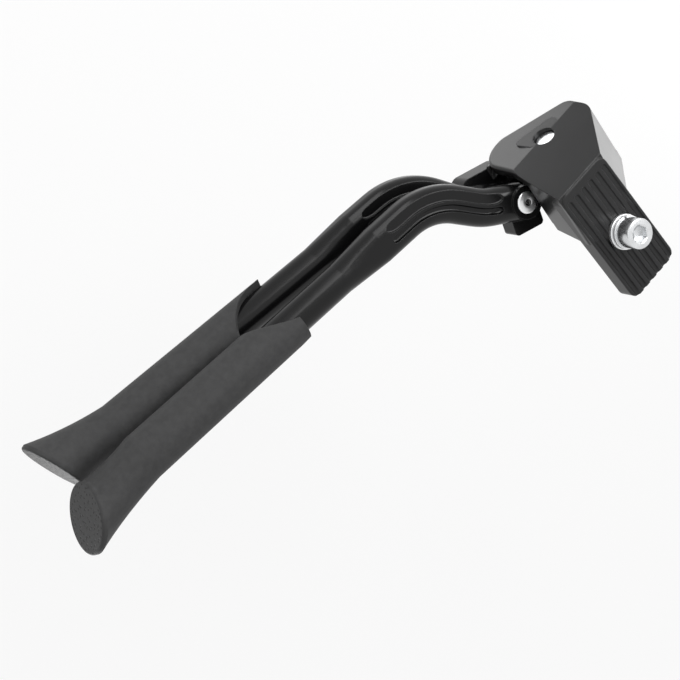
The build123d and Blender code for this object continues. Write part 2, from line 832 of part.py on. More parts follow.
nodes = {
    "mount_housing": mount_housing(),
    "mount_bolt": mount_bolt(),
    "flat_washer": flat_washer(),
    "spring_washer": spring_washer(),
    "main_pivot_pin": main_pivot_pin(),
    "pivot_retaining_ring": pivot_retaining_ring(),
    "outer_thrust_washer": thrust_washer(outer_washer_start),
    "inner_thrust_washer": thrust_washer(inner_washer_start),
    "outer_pivot_bush": pivot_bush(outer_flange_start, hub_start),
    "inner_pivot_bush": pivot_bush(hub_end, hub_start + hub_length / 2 + face_clearance),
    "spring_sleeve": spring_sleeve(),
    "return_spring": return_spring(),
    "spring_hook_pin": spring_hook_pin(),
    "spring_anchor_pin": spring_anchor_pin(),
    "fold_stop_pin": fold_stop_pin(),
    "fold_stop_sleeve": fold_stop_sleeve(),
    "down_stop_pad": down_stop_pad(),
    "spread_spring": spread_spring(),
    "left_leg": left_solid,
    "right_leg": right_solid,
    "leg_pivot_rivet": leg_pivot_rivet(),
    "rivet_bush": rivet_bush(),
    "rivet_collar": rivet_collar(),
    "leg_spacer_washer": leg_spacer_washer(),
    "left_foot_sleeve": foot_sleeve(left_rod_plane, left_sole, left_tongue),
    "right_foot_sleeve": foot_sleeve(right_rod_plane, right_sole, right_tongue),
}

os.makedirs("parts", exist_ok=True)
for name, solid in nodes.items():
    export_step(solid, f"parts/{name}.step")
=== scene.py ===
import math

import bmesh
import bpy
from bpy.props import FloatProperty, FloatVectorProperty, IntProperty, PointerProperty
from mathutils import Matrix, Vector


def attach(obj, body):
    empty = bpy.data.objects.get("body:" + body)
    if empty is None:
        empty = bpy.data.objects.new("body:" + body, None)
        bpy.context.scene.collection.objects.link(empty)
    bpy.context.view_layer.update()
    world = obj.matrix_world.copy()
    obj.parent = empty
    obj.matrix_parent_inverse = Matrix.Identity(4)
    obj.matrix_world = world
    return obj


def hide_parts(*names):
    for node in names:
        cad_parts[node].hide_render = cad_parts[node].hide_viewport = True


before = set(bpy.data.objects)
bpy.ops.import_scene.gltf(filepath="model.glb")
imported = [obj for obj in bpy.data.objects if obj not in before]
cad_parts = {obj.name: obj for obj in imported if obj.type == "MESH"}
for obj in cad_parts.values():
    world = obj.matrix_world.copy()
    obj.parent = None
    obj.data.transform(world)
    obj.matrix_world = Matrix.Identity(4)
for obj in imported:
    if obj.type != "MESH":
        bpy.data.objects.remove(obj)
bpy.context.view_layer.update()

bl_info = {
    "name": "Two-leg bicycle kickstand",
    "version": (1, 0, 0),
    "blender": (4, 5, 0),
    "location": "3D View > Sidebar > Kickstand",
    "description": (
        "Dresses a folding two-leg bicycle kickstand with finishes, fasteners and a studio"
    ),
    "category": "Object",
}

# Directions that the folded soles face
LEFT_SOLE = (-0.98, -0.16, 0.12)
RIGHT_SOLE = (-0.75, 0.65, 0.12)

# Pits on the soles: pits to a metre, how unevenly they lie, where a face counts as the sole,
# and the share of a pit's radius that is at full depth
PIT_SCALE = 330.0
PIT_SPREAD = 0.85
SOLE_FACING = (0.93, 0.97)
PIT_FLOOR = 0.6

# Rubbed edges, which the paints also lighten into painted highlight lines: how far the rounded
# normal leaves the plain one, and the noise that breaks it up
EDGE_TURN = (0.98, 0.85)
WORN_AND_HIGHLIGHT_PATCHES = (0.42, 0.68)

# Plated steel: shade of its rubbed edges, the painted shade in a recess and the share of it at full
# painted shade
WORN_SHADE = 1.2
HOLLOW_PAINTED_SHADE = 0.03
HOLLOW_CORE = 0.85

# The part of a noise's range that holds most of its values
NOISE_RANGE = (0.3, 0.7)
NOISE_CORE = (0.35, 0.65)

# How finely the drawn pieces are made: points round the rivet, rows to a pitch of the thread,
# steps to a turn of the coil, sides of a wire, and the angle from which an edge is sharp
RIVET_SEGMENTS = 96
THREAD_ROWS = 10
COIL_STEPS = 40
WIRE_SIDES = 12
SHARP_ANGLE = math.radians(40)

# Bolt head: its rounded edge as a share of its radius, and the socket's mouth and drill as
# shares of its flats
HEAD_EDGE = 0.11
SOCKET_MOUTH = 0.62
SOCKET_DRILL = 0.42

# Rivet head: its rounded edge as a share of its height
RIVET_EDGE = 0.22

# What the lamps are aimed at
MIDDLE = (-0.1, 0.06, -0.04)
HOUSING = (0.01, 0.04, -0.035)
FEET = (-0.28, 0.11, -0.06)

# The photograph's view
VIEW_PLACE = (-0.3360, 0.4259, 0.7023)
VIEW_RIGHT = (0.6498, -0.6001, 0.4669)
VIEW_UP = (0.7248, 0.6745, -0.1416)
VIEW_BACK = (-0.2300, 0.4303, 0.8730)
SENSOR_WIDTH = 36.0
CLIP_START = 0.01

# Studio: the floor's size, how far off it starts and ends its fade, how white it is there, and
# the strength of the room's light
FLOOR_SIZE = 12.0
FLOOR_FADE = (0.25, 1.2)
FLOOR_WHITE = (0.8, 1.0)
ROOM_LIGHT = 0.45


class BoltSettings(bpy.types.PropertyGroup):
    head_radius: FloatProperty(
        name="Head radius", description="Radius of the bolt's head", unit="LENGTH",
        default=0.008, precision=4,
    )
    head_low: FloatProperty(
        name="Head underside", description="Height of the head's underside", unit="LENGTH",
        default=0.0038, precision=4,
    )
    head_height: FloatProperty(
        name="Head height", description="Height of the bolt's head", unit="LENGTH",
        default=0.010, precision=4,
    )
    socket_flats: FloatProperty(
        name="Socket", description="Hexagon socket across flats", unit="LENGTH",
        default=0.008, precision=4,
    )
    socket_depth: FloatProperty(
        name="Socket depth", description="Depth of the hexagon socket", unit="LENGTH",
        default=0.0055, precision=4,
    )
    shank_radius: FloatProperty(
        name="Thread radius", description="Outer radius of the thread", unit="LENGTH",
        default=0.005, precision=4,
    )
    shank_low: FloatProperty(
        name="Tip", description="Height of the bolt's tip", unit="LENGTH",
        default=-0.0282, precision=4,
    )
    thread_pitch: FloatProperty(
        name="Pitch", description="Pitch of the thread", unit="LENGTH",
        default=0.0015, precision=4,
    )
    thread_depth: FloatProperty(
        name="Thread depth", description="Depth of the thread", unit="LENGTH",
        default=0.0008, precision=4,
    )
    segments: IntProperty(
        name="Segments", description="Points round the bolt", default=96,
    )


class RivetSettings(bpy.types.PropertyGroup):
    place_x: FloatProperty(
        name="X", description="Rivet's place, forward", unit="LENGTH",
        default=-0.0187, precision=4,
    )
    place_y: FloatProperty(
        name="Y", description="Rivet's place, left", unit="LENGTH",
        default=0.0367, precision=4,
    )
    head_low: FloatProperty(
        name="Head underside", description="Height of the head's seat", unit="LENGTH",
        default=-0.0325, precision=4,
    )
    head_height: FloatProperty(
        name="Head height", description="Height of the rivet's head", unit="LENGTH",
        default=0.0022, precision=4,
    )
    head_radius: FloatProperty(
        name="Head radius", description="Radius of the rivet's head", unit="LENGTH",
        default=0.00595, precision=5,
    )
    shank_radius: FloatProperty(
        name="Shank radius", description="Radius of the rivet's shank", unit="LENGTH",
        default=0.004, precision=4,
    )
    shank_low: FloatProperty(
        name="Foot", description="Height of the rivet's lower end", unit="LENGTH",
        default=-0.072, precision=4,
    )
    dimple_radius: FloatProperty(
        name="Dimple", description="Radius of the dimple left by the riveting tool", unit="LENGTH",
        default=0.0019, precision=4,
    )


class SpringSettings(bpy.types.PropertyGroup):
    origin: FloatVectorProperty(
        name="Start", description="Coil's start on the main pin's axis", subtype="XYZ",
        unit="LENGTH", default=(0.0138, 0.02379, -0.04105), precision=5,
    )
    tilt: FloatProperty(
        name="Tilt", description="Tilt of the main pin", subtype="ANGLE",
        default=math.radians(8.0),
    )
    coil_radius: FloatProperty(
        name="Coil radius", description="Radius of the coil's centre line", unit="LENGTH",
        default=0.00725, precision=5,
    )
    pitch: FloatProperty(
        name="Pitch", description="Pitch of the coil", unit="LENGTH",
        default=0.0016, precision=4,
    )
    turns: FloatProperty(
        name="Turns", description="Turns of the coil", default=2.068, precision=3,
    )
    wire_radius: FloatProperty(
        name="Wire radius", description="Radius of the wire", unit="LENGTH",
        default=0.0007, precision=4,
    )
    coil_start: FloatProperty(
        name="Start angle", description="Where the moving tang leaves the coil", subtype="ANGLE",
        default=math.radians(-68.1),
    )
    moving_end: FloatVectorProperty(
        name="Moving end", description="End of the tang on the left leg's pin", size=2,
        unit="LENGTH", default=(-0.01853, -0.01526), precision=5,
    )
    fixed_end: FloatVectorProperty(
        name="Fixed end", description="End of the tang on the housing's pin", size=2,
        unit="LENGTH", default=(0.01639, 0.00668), precision=5,
    )
    tang_split: FloatProperty(
        name="Split", description="How far from the coil the moving tang is parted",
        unit="LENGTH", default=0.0048, precision=4,
    )


class FinishSettings(bpy.types.PropertyGroup):
    housing_colour: FloatVectorProperty(
        name="Housing", description="Satin paint on the cast housing", subtype="COLOR",
        default=(0.0115, 0.0115, 0.0118),
    )
    leg_colour: FloatVectorProperty(
        name="Legs", description="Gloss paint on the legs", subtype="COLOR",
        default=(0.004, 0.004, 0.0042),
    )
    sleeve_colour: FloatVectorProperty(
        name="Sleeves", description="Moulded foot sleeves", subtype="COLOR",
        default=(0.045, 0.045, 0.0455),
    )
    zinc_colour: FloatVectorProperty(
        name="Zinc", description="Plated bolt, pins and collar", subtype="COLOR",
        default=(0.72, 0.73, 0.74),
    )
    bright_colour: FloatVectorProperty(
        name="Bright zinc", description="Brightest plating, on the rivet and the washers",
        subtype="COLOR", default=(0.88, 0.885, 0.89),
    )
    spring_colour: FloatVectorProperty(
        name="Spring", description="Oiled spring steel", subtype="COLOR",
        default=(0.20, 0.20, 0.21),
    )
    bearing_colour: FloatVectorProperty(
        name="Bearings", description="Plain bearing plastic", subtype="COLOR",
        default=(0.10, 0.10, 0.10),
    )
    stop_colour: FloatVectorProperty(
        name="Stops", description="Rubber stops", subtype="COLOR",
        default=(0.015, 0.015, 0.015),
    )


class StageSettings(bpy.types.PropertyGroup):
    floor_colour: FloatVectorProperty(
        name="Floor", description="Pale studio floor", subtype="COLOR",
        default=(0.93, 0.93, 0.93),
    )
    floor_drop: FloatProperty(
        name="Floor drop", description="Floor below the clamp plate, just under the lowered soles",
        unit="LENGTH", default=0.3137, precision=4,
    )
    key_power: FloatProperty(
        name="Key light", description="Power of the key softbox", unit="POWER", default=4.6,
    )
    fill_power: FloatProperty(
        name="Fill light", description="Power of the fill softbox", unit="POWER", default=1.7,
    )
    strip_power: FloatProperty(
        name="Strip light", description="Power of the strip softbox", unit="POWER", default=2.3,
    )
    low_power: FloatProperty(
        name="Low card", description="Power of the low card at the left", unit="POWER",
        default=0.2,
    )
    front_power: FloatProperty(
        name="Front card", description="Power of the card in front", unit="POWER", default=0.3,
    )
    rear_power: FloatProperty(
        name="Rear card", description="Power of the card behind the feet", unit="POWER",
        default=0.28,
    )
    lens: FloatProperty(
        name="Lens", description="Focal length in millimetres", unit="CAMERA", default=90.0,
    )


def finish():
    return bpy.context.scene.kickstand_finish


class Graph:
    """A short way to place and join shader nodes."""

    def __init__(self, tree):
        self.tree = tree

    def node(self, kind, **settings):
        item = self.tree.nodes.new(kind)
        for name, value in settings.items():
            setattr(item, name, value)
        return item

    def feed(self, target, value):
        if isinstance(value, bpy.types.NodeSocket):
            self.tree.links.new(value, target)
        else:
            target.default_value = value

    def place(self):
        """Where a point lies in its own object."""
        return self.node("ShaderNodeTexCoord").outputs["Object"]

    def math(self, operation, a, b, clamp=False):
        item = self.node("ShaderNodeMath", operation=operation, use_clamp=clamp)
        self.feed(item.inputs[0], a)
        self.feed(item.inputs[1], b)
        return item.outputs[0]

    def mix(self, amount, a, b):
        item = self.node("ShaderNodeMix", data_type="RGBA")
        self.feed(item.inputs[0], amount)
        self.feed(item.inputs[6], a)
        self.feed(item.inputs[7], b)
        return item.outputs[2]

    def dot(self, a, b):
        item = self.node("ShaderNodeVectorMath", operation="DOT_PRODUCT")
        self.feed(item.inputs[0], a)
        self.feed(item.inputs[1], b)
        return item.outputs["Value"]

    def span(self, value, low, high, to_low=0.0, to_high=1.0):
        item = self.node("ShaderNodeMapRange")
        for socket, number in zip(item.inputs[:5], (value, low, high, to_low, to_high)):
            self.feed(socket, number)
        return item.outputs[0]

    def noise(self, place, scale, detail=3.0, rough=0.5):
        item = self.node("ShaderNodeTexNoise")
        self.feed(item.inputs["Vector"], place)
        for name, number in (("Scale", scale), ("Detail", detail), ("Roughness", rough)):
            self.feed(item.inputs[name], number)
        return item.outputs["Fac"]


def new_group(name, inputs, outputs):
    """A shader node group with float inputs and outputs; gives the graph and its two ends."""
    tree = bpy.data.node_groups.new(name, "ShaderNodeTree")
    for label, default in inputs:
        socket = tree.interface.new_socket(label, in_out="INPUT", socket_type="NodeSocketFloat")
        socket.default_value = default
    for label in outputs:
        tree.interface.new_socket(label, in_out="OUTPUT", socket_type="NodeSocketFloat")
    graph = Graph(tree)
    return graph, graph.node("NodeGroupInput").outputs, graph.node("NodeGroupOutput").inputs


def grain_group():
    """Fine cast or moulded grain with broad mottling."""
    if "Surface grain" in bpy.data.node_groups:
        return bpy.data.node_groups["Surface grain"]
    graph, given, result = new_group(
        "Surface grain", (("Grain scale", 1800.0), ("Mottle scale", 60.0)), ("Grain", "Mottle")
    )
    place = graph.place()
    fine = graph.noise(place, given["Grain scale"], detail=2.0, rough=0.6)
    broad = graph.noise(place, given["Mottle scale"], detail=4.0, rough=0.55)
    graph.feed(result["Grain"], fine)
    graph.feed(result["Mottle"], broad)
    return graph.tree


def edge_wear_and_highlight_group():
    """Rubbed edges and painted edge highlights: where the rounded normal leaves the plain one,
    broken up by noise.
    """
    if "Edge wear" in bpy.data.node_groups:
        return bpy.data.node_groups["Edge wear"]
    graph, given, result = new_group(
        "Edge wear", (("Radius", 0.0005), ("Breakup", 140.0)), ("Wear_and_highlight",)
    )
    plain = graph.node("ShaderNodeNewGeometry").outputs["Normal"]
    patches = graph.noise(graph.place(), given["Breakup"], detail=5.0, rough=0.6)
    sharp = graph.span(graph.dot(rounded_edges(graph, given["Radius"]), plain), *EDGE_TURN)
    broken = graph.span(patches, *WORN_AND_HIGHLIGHT_PATCHES)
    # The mask gives slightly rubbed edges on plated steel and painted highlight lines on paint.
    graph.feed(result["Wear_and_highlight"], graph.math("MULTIPLY", sharp, broken, clamp=True))
    return graph.tree


def place_group(graph, tree, **values):
    item = graph.node("ShaderNodeGroup", node_tree=tree)
    for name, value in values.items():
        graph.feed(item.inputs[name.replace("_", " ")], value)
    return item.outputs


def shaded(colour, factor):
    return (colour[0] * factor, colour[1] * factor, colour[2] * factor, 1.0)


def mottled(graph, amount, colour, dark, light):
    """A colour between a darker and a lighter shade of itself."""
    return graph.mix(amount, shaded(colour, dark), shaded(colour, light))


def new_material(name):
    if name in bpy.data.materials:
        bpy.data.materials.remove(bpy.data.materials[name])
    material = bpy.data.materials.new(name)
    material.use_nodes = True
    graph = Graph(material.node_tree)
    return material, graph, material.node_tree.nodes["Principled BSDF"].inputs


def bumped(graph, height, strength, distance, normal):
    item = graph.node("ShaderNodeBump")
    graph.feed(item.inputs["Strength"], strength)
    graph.feed(item.inputs["Distance"], distance)
    graph.feed(item.inputs["Height"], height)
    graph.feed(item.inputs["Normal"], normal)
    return item.outputs["Normal"]


def rounded_edges(graph, radius):
    item = graph.node("ShaderNodeBevel", samples=4)
    graph.feed(item.inputs["Radius"], radius)
    return item.outputs["Normal"]


def paint(name, colour, rough, shine, grain_height, edge_radius, painted_edge_highlight):
    """Sprayed paint over metal: faint grain, slightly uneven gloss, and rubbed edges lightened into
    painted highlight lines.
    """
    material, graph, shader = new_material(name)
    grain = place_group(graph, grain_group(), Grain_scale=1500.0, Mottle_scale=70.0)
    wear_and_highlight = place_group(graph, edge_wear_and_highlight_group())["Wear_and_highlight"]
    base = mottled(graph, grain["Mottle"], colour, dark=0.9, light=1.1)
    gloss = graph.span(grain["Mottle"], *NOISE_RANGE, rough * 0.95, rough * 1.05)
    edges = rounded_edges(graph, edge_radius)
    normal = bumped(graph, grain["Grain"], strength=0.3, distance=grain_height, normal=edges)
    # Sharp edges take a much lighter colour: painted highlight lines.
    graph.feed(shader["Base Color"], graph.mix(wear_and_highlight, base, shaded(colour, painted_edge_highlight)))
    graph.feed(shader["Roughness"], gloss)
    graph.feed(shader["Normal"], normal)
    shader["Specular IOR Level"].default_value = shine
    return material


def sole_pits(graph, normal, radius):
    """Fine pits over the face that looks along the normal; radius is a share of their spacing."""
    where = graph.node("ShaderNodeTexCoord").outputs
    across = normal.orthogonal().normalized()
    flat = graph.node("ShaderNodeCombineXYZ")
    graph.feed(flat.inputs["X"], graph.dot(where["Object"], across))
    graph.feed(flat.inputs["Y"], graph.dot(where["Object"], normal.cross(across)))
    pits = graph.node("ShaderNodeTexVoronoi", voronoi_dimensions="2D")
    graph.feed(pits.inputs["Vector"], flat.outputs["Vector"])
    graph.feed(pits.inputs["Scale"], PIT_SCALE)
    graph.feed(pits.inputs["Randomness"], PIT_SPREAD)
    hole = graph.span(pits.outputs["Distance"], radius, radius * PIT_FLOOR)
    on_sole = graph.span(graph.dot(where["Normal"], normal), *SOLE_FACING)
    return graph.math("MULTIPLY", hole, on_sole, clamp=True)


def moulding(name, colour, rough, shine=0.35, sole_normal=None, pit_radius=0.0, pit_painted_shade=1.0):
    """Moulded rubbery plastic with a fine grain, and pits on a sole that faces one way, darkened
    with painted shade.
    """
    material, graph, shader = new_material(name)
    grain = place_group(graph, grain_group(), Grain_scale=1100.0, Mottle_scale=280.0)
    patches = graph.span(grain["Mottle"], *NOISE_CORE)
    base = mottled(graph, patches, colour, dark=0.86, light=1.14)
    gloss = graph.span(grain["Mottle"], *NOISE_RANGE, rough - 0.04, rough + 0.04)
    edges = rounded_edges(graph, radius=0.0008)
    normal = bumped(graph, grain["Grain"], strength=0.5, distance=0.00012, normal=edges)
    if sole_normal is not None:
        hole = sole_pits(graph, Vector(sole_normal).normalized(), pit_radius)
        # The pits are darkened: painted shade in the recesses.
        base = graph.mix(hole, base, shaded(colour, pit_painted_shade))
        solid = graph.math("SUBTRACT", 1.0, hole)
        normal = bumped(graph, solid, strength=0.8, distance=0.0006, normal=normal)
    graph.feed(shader["Base Color"], base)
    graph.feed(shader["Roughness"], gloss)
    graph.feed(shader["Normal"], normal)
    shader["Specular IOR Level"].default_value = shine
    return material


def near_axis(graph, centre, radius):
    """1 close to a vertical axis through the centre, 0 beyond the radius."""
    flat = graph.node("ShaderNodeVectorMath", operation="MULTIPLY")
    graph.feed(flat.inputs[0], graph.place())
    graph.feed(flat.inputs[1], (1.0, 1.0, 0.0))
    away = graph.node("ShaderNodeVectorMath", operation="DISTANCE")
    graph.feed(away.inputs[0], flat.outputs["Vector"])
    graph.feed(away.inputs[1], (*centre, 0.0))
    return graph.span(away.outputs["Value"], radius, radius * HOLLOW_CORE)


def plated(name, colour, rough, scale, painted_shade_hollow=None):
    """Plated or oiled steel with fine grain and rubbed edges; a recess round an axis is painted
    dark as painted shade.
    """
    material, graph, shader = new_material(name)
    grain = place_group(graph, grain_group(), Grain_scale=scale, Mottle_scale=220.0)
    wear_and_highlight = place_group(graph, edge_wear_and_highlight_group(), Breakup=300.0)["Wear_and_highlight"]
    base = mottled(graph, grain["Mottle"], colour, dark=0.82, light=1.08)
    if painted_shade_hollow is not None:
        # Painted shade: the recess round the axis is painted near black.
        base = graph.mix(near_axis(graph, *painted_shade_hollow), base, shaded(colour, HOLLOW_PAINTED_SHADE))
    gloss = graph.span(grain["Mottle"], *NOISE_RANGE, rough * 0.7, rough * 1.3)
    edges = rounded_edges(graph, radius=0.0003)
    normal = bumped(graph, grain["Grain"], strength=0.25, distance=0.00004, normal=edges)
    graph.feed(shader["Base Color"], graph.mix(wear_and_highlight, base, shaded(colour, WORN_SHADE)))
    graph.feed(shader["Roughness"], gloss)
    graph.feed(shader["Normal"], normal)
    shader["Metallic"].default_value = 1.0
    return material


def dress(material, *nodes):
    """Give CAD nodes one material."""
    for node in nodes:
        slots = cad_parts[node].data.materials
        slots.clear()
        slots.append(material)


def hexagon(flats):
    """Radius of a hexagon in each direction, with a corner along X."""
    sector = math.pi / 3
    return lambda angle, height: flats / 2 / math.cos(angle % sector - sector / 2)


def thread(outer, depth, pitch):
    """Radius of a V thread in each direction and at each height."""

    def radius(angle, height):
        phase = (height / pitch - angle / math.tau) % 1.0
        return outer - depth * abs(2.0 * phase - 1.0)

    return radius


def turned(name, rings, centre, segments):
    """A closed body of rings (radius, height) round an upright axis; a radius may be a function."""
    shape = bmesh.new()
    loops = []
    for radius, height in rings:
        loop = []
        for step in range(segments):
            angle = math.tau * step / segments
            reach = radius(angle, height) if callable(radius) else radius
            x = centre[0] + reach * math.cos(angle)
            y = centre[1] + reach * math.sin(angle)
            loop.append(shape.verts.new((x, y, height)))
        loops.append(loop)
    return closed(shape, loops, name)


def closed(shape, loops, name):
    """Join loops of points into one closed body and place it in the scene."""
    count = len(loops[0])
    for low, high in zip(loops, loops[1:]):
        for step in range(count):
            after = (step + 1) % count
            shape.faces.new((low[step], low[after], high[after], high[step]))
    shape.faces.new(reversed(loops[0]))
    shape.faces.new(loops[-1])
    bmesh.ops.recalc_face_normals(shape, faces=shape.faces)
    mesh = bpy.data.meshes.new(name)
    shape.to_mesh(mesh)
    shape.free()
    mesh.polygons.foreach_set("use_smooth", [True] * len(mesh.polygons))
    mesh.set_sharp_from_angle(angle=SHARP_ANGLE)
    item = bpy.data.objects.new(name, mesh)
    bpy.context.scene.collection.objects.link(item)
    return item


def wire(name, points, radius):
    """A round wire with flat ends along a list of points."""
    shape = bmesh.new()
    loops = []
    turns = [math.tau * step / WIRE_SIDES for step in range(WIRE_SIDES)]
    across = (points[1] - points[0]).orthogonal().normalized()
    for index, point in enumerate(points):
        before, after = points[max(index - 1, 0)], points[min(index + 1, len(points) - 1)]
        heading = (after - before).normalized()
        across = (across - heading * across.dot(heading)).normalized()
        other = heading.cross(across)
        spokes = [across * math.cos(turn) + other * math.sin(turn) for turn in turns]
        loops.append([shape.verts.new(point + spoke * radius) for spoke in spokes])
    return closed(shape, loops, name)


def stand_in(item, node, body, material):
    item.data.materials.append(material)
    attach(item, body)
    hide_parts(node)


class KICKSTAND_OT_housing(bpy.types.Operator):
    """Paint the cast housing"""

    bl_idname = "kickstand.housing"
    bl_label = "Housing"

    def execute(self, context):
        # The edge factor of 9 paints bright highlight lines along the housing's edges.
        satin = paint(
            "Housing satin", finish().housing_colour, rough=0.30, shine=0.33,
            grain_height=0.00003, edge_radius=0.0009, painted_edge_highlight=9.0,
        )
        dress(satin, "mount_housing")
        return {"FINISHED"}


class KICKSTAND_OT_legs(bpy.types.Operator):
    """Paint both legs"""

    bl_idname = "kickstand.legs"
    bl_label = "Legs"

    def execute(self, context):
        # The edge factor of 7 paints bright highlight lines along the legs' panel edges.
        gloss = paint(
            "Leg gloss", finish().leg_colour, rough=0.20, shine=0.27,
            grain_height=0.000003, edge_radius=0.0006, painted_edge_highlight=7.0,
        )
        dress(gloss, "left_leg", "right_leg")
        return {"FINISHED"}


class KICKSTAND_OT_sleeves(bpy.types.Operator):
    """Finish the moulded foot sleeves"""

    bl_idname = "kickstand.sleeves"
    bl_label = "Foot sleeves"

    def execute(self, context):
        # The last number of each row is the painted shade in the sole's pits, darker on the far
        # sole.
        for node, sole, radius, shade in (
            ("left_foot_sleeve", LEFT_SOLE, 0.25, 0.15),
            ("right_foot_sleeve", RIGHT_SOLE, 0.22, 0.4),
        ):
            moulded = moulding(
                "Moulded " + node, finish().sleeve_colour, rough=0.66, shine=0.3,
                sole_normal=sole, pit_radius=radius, pit_painted_shade=shade,
            )
            dress(moulded, node)
        return {"FINISHED"}


class KICKSTAND_OT_steel(bpy.types.Operator):
    """Finish the washers, pins, collar, ring and spread spring"""

    bl_idname = "kickstand.steel"
    bl_label = "Steel pieces"

    def execute(self, context):
        zinc = plated("Bright zinc", finish().zinc_colour, rough=0.28, scale=2600.0)
        bright = plated("Washer zinc", finish().bright_colour, rough=0.5, scale=2600.0)
        spring = plated("Oiled spring steel", finish().spring_colour, rough=0.35, scale=2200.0)
        dress(bright, "flat_washer", "spring_washer")
        dress(
            zinc, "main_pivot_pin", "rivet_collar", "spring_hook_pin", "spring_anchor_pin",
            "fold_stop_pin",
        )
        dress(spring, "spread_spring", "pivot_retaining_ring")
        return {"FINISHED"}


class KICKSTAND_OT_bolt(bpy.types.Operator):
    """Threaded mounting bolt with a hexagon socket"""

    bl_idname = "kickstand.bolt"
    bl_label = "Mounting bolt"

    def execute(self, context):
        size = context.scene.kickstand_bolt
        rings = self.shank(size) + self.head(size)
        item = turned("socket_head_bolt", rings, (0.0, 0.0), size.segments)
        zinc = plated("Bolt zinc", finish().zinc_colour, rough=0.26, scale=2600.0)
        stand_in(item, "mount_bolt", "housing", zinc)
        return {"FINISHED"}

    def shank(self, size):
        core = size.shank_radius - size.thread_depth
        profile = thread(size.shank_radius, size.thread_depth, size.thread_pitch)
        start = size.shank_low + size.thread_depth
        end = size.head_low - size.thread_pitch
        rows = round((end - start) / size.thread_pitch * THREAD_ROWS)
        rings = [(core - size.thread_depth, size.shank_low), (core, start)]
        rings += [(profile, start + (end - start) * row / rows) for row in range(1, rows)]
        return rings + [(core, end), (size.shank_radius, end + size.thread_depth)]

    def head(self, size):
        top = size.head_low + size.head_height
        edge = size.head_radius * HEAD_EDGE
        mouth = size.socket_flats * SOCKET_MOUTH
        hexa = hexagon(size.socket_flats)
        drill = size.socket_flats * SOCKET_DRILL
        floor = top - size.socket_depth
        return [
            (size.shank_radius, size.head_low),
            (size.head_radius - edge * 0.4, size.head_low),
            (size.head_radius, size.head_low + edge * 0.4),
            (size.head_radius, top - edge),
            (size.head_radius - edge * 0.3, top - edge * 0.3),
            (size.head_radius - edge, top),
            (mouth, top),
            (mouth * 0.985, top - edge * 0.1),
            (hexa, top - edge * 0.55),
            (hexa, floor + edge),
            (drill, floor + edge),
            (drill * 0.1, floor),
        ]


class KICKSTAND_OT_rivet(bpy.types.Operator):
    """Leg rivet with a domed head and the riveting tool's dimple"""

    bl_idname = "kickstand.rivet"
    bl_label = "Leg rivet"

    def execute(self, context):
        size = context.scene.kickstand_rivet
        place = (size.place_x, size.place_y)
        item = turned("domed_leg_rivet", self.rings(size), place, RIVET_SEGMENTS)
        # The rivet's dimple is painted near black: painted shade.
        bright = plated(
            "Rivet steel", finish().bright_colour, rough=0.34, scale=2600.0,
            painted_shade_hollow=(place, size.dimple_radius),
        )
        stand_in(item, "leg_pivot_rivet", "left_leg", bright)
        return {"FINISHED"}

    def rings(self, size):
        top = size.head_low + size.head_height
        edge = size.head_height * RIVET_EDGE
        dimple = size.dimple_radius
        return [
            (size.shank_radius - edge, size.shank_low),
            (size.shank_radius, size.shank_low + edge),
            (size.shank_radius, size.head_low),
            (size.head_radius, size.head_low),
            (size.head_radius, top - edge * 2.4),
            (size.head_radius - edge * 0.4, top - edge * 1.9),
            (size.head_radius * 0.8, top - edge * 1.3),
            (size.head_radius * 0.6, top - edge * 0.75),
            (dimple * 1.1, top - edge * 0.05),
            (dimple, top - edge * 0.2),
            (dimple * 0.8, top - edge * 2.6),
            (dimple * 0.35, top - edge * 2.9),
            (dimple * 0.05, top - edge * 2.2),
        ]


class KICKSTAND_OT_spring(bpy.types.Operator):
    """Return spring: the coil stays on the housing, and its moving tang follows the left leg"""

    bl_idname = "kickstand.spring"
    bl_label = "Return spring"

    def execute(self, context):
        size = context.scene.kickstand_spring
        steel = plated("Return spring steel", finish().spring_colour, rough=0.35, scale=2200.0)
        coil = self.coil(size)
        slope = size.pitch / (math.tau * size.coil_radius)
        far_side = size.pitch * size.turns
        moving = self.tang(size, self.place(size, *size.moving_end, 0.0), coil[0], -slope)
        fixed = self.tang(size, self.place(size, *size.fixed_end, far_side), coil[-1], slope)
        parting = coil[0] + (moving - coil[0]).normalized() * size.tang_split
        body = wire("return_spring_coil", [parting, *coil, fixed], size.wire_radius)
        stand_in(body, "return_spring", "housing", steel)
        tang = wire("return_spring_tang", [moving, parting], size.wire_radius)
        stand_in(tang, "return_spring", "left_leg", steel)
        return {"FINISHED"}

    def directions(self, size):
        """Forward, up across the main pin, and along it."""
        forward = Vector((1.0, 0.0, 0.0))
        rise = Vector((0.0, -math.sin(size.tilt), math.cos(size.tilt)))
        return forward, rise, forward.cross(rise)

    def place(self, size, x, y, along):
        forward, rise, axis = self.directions(size)
        return Vector(size.origin) + forward * x + rise * y + axis * along

    def coil(self, size):
        """Points along the coil's centre line."""
        steps = round(size.turns * COIL_STEPS)
        points = []
        for step in range(steps + 1):
            turned_by = math.tau * size.turns * step / steps
            angle = size.coil_start + turned_by
            x, y = size.coil_radius * math.cos(angle), size.coil_radius * math.sin(angle)
            points.append(self.place(size, x, y, size.pitch * turned_by / math.tau))
        return points

    def tang(self, size, end, start, slope):
        """The tang's end, carried on along the main pin at the coil's slope."""
        axis = self.directions(size)[-1]
        return end + axis * slope * (end - start).length


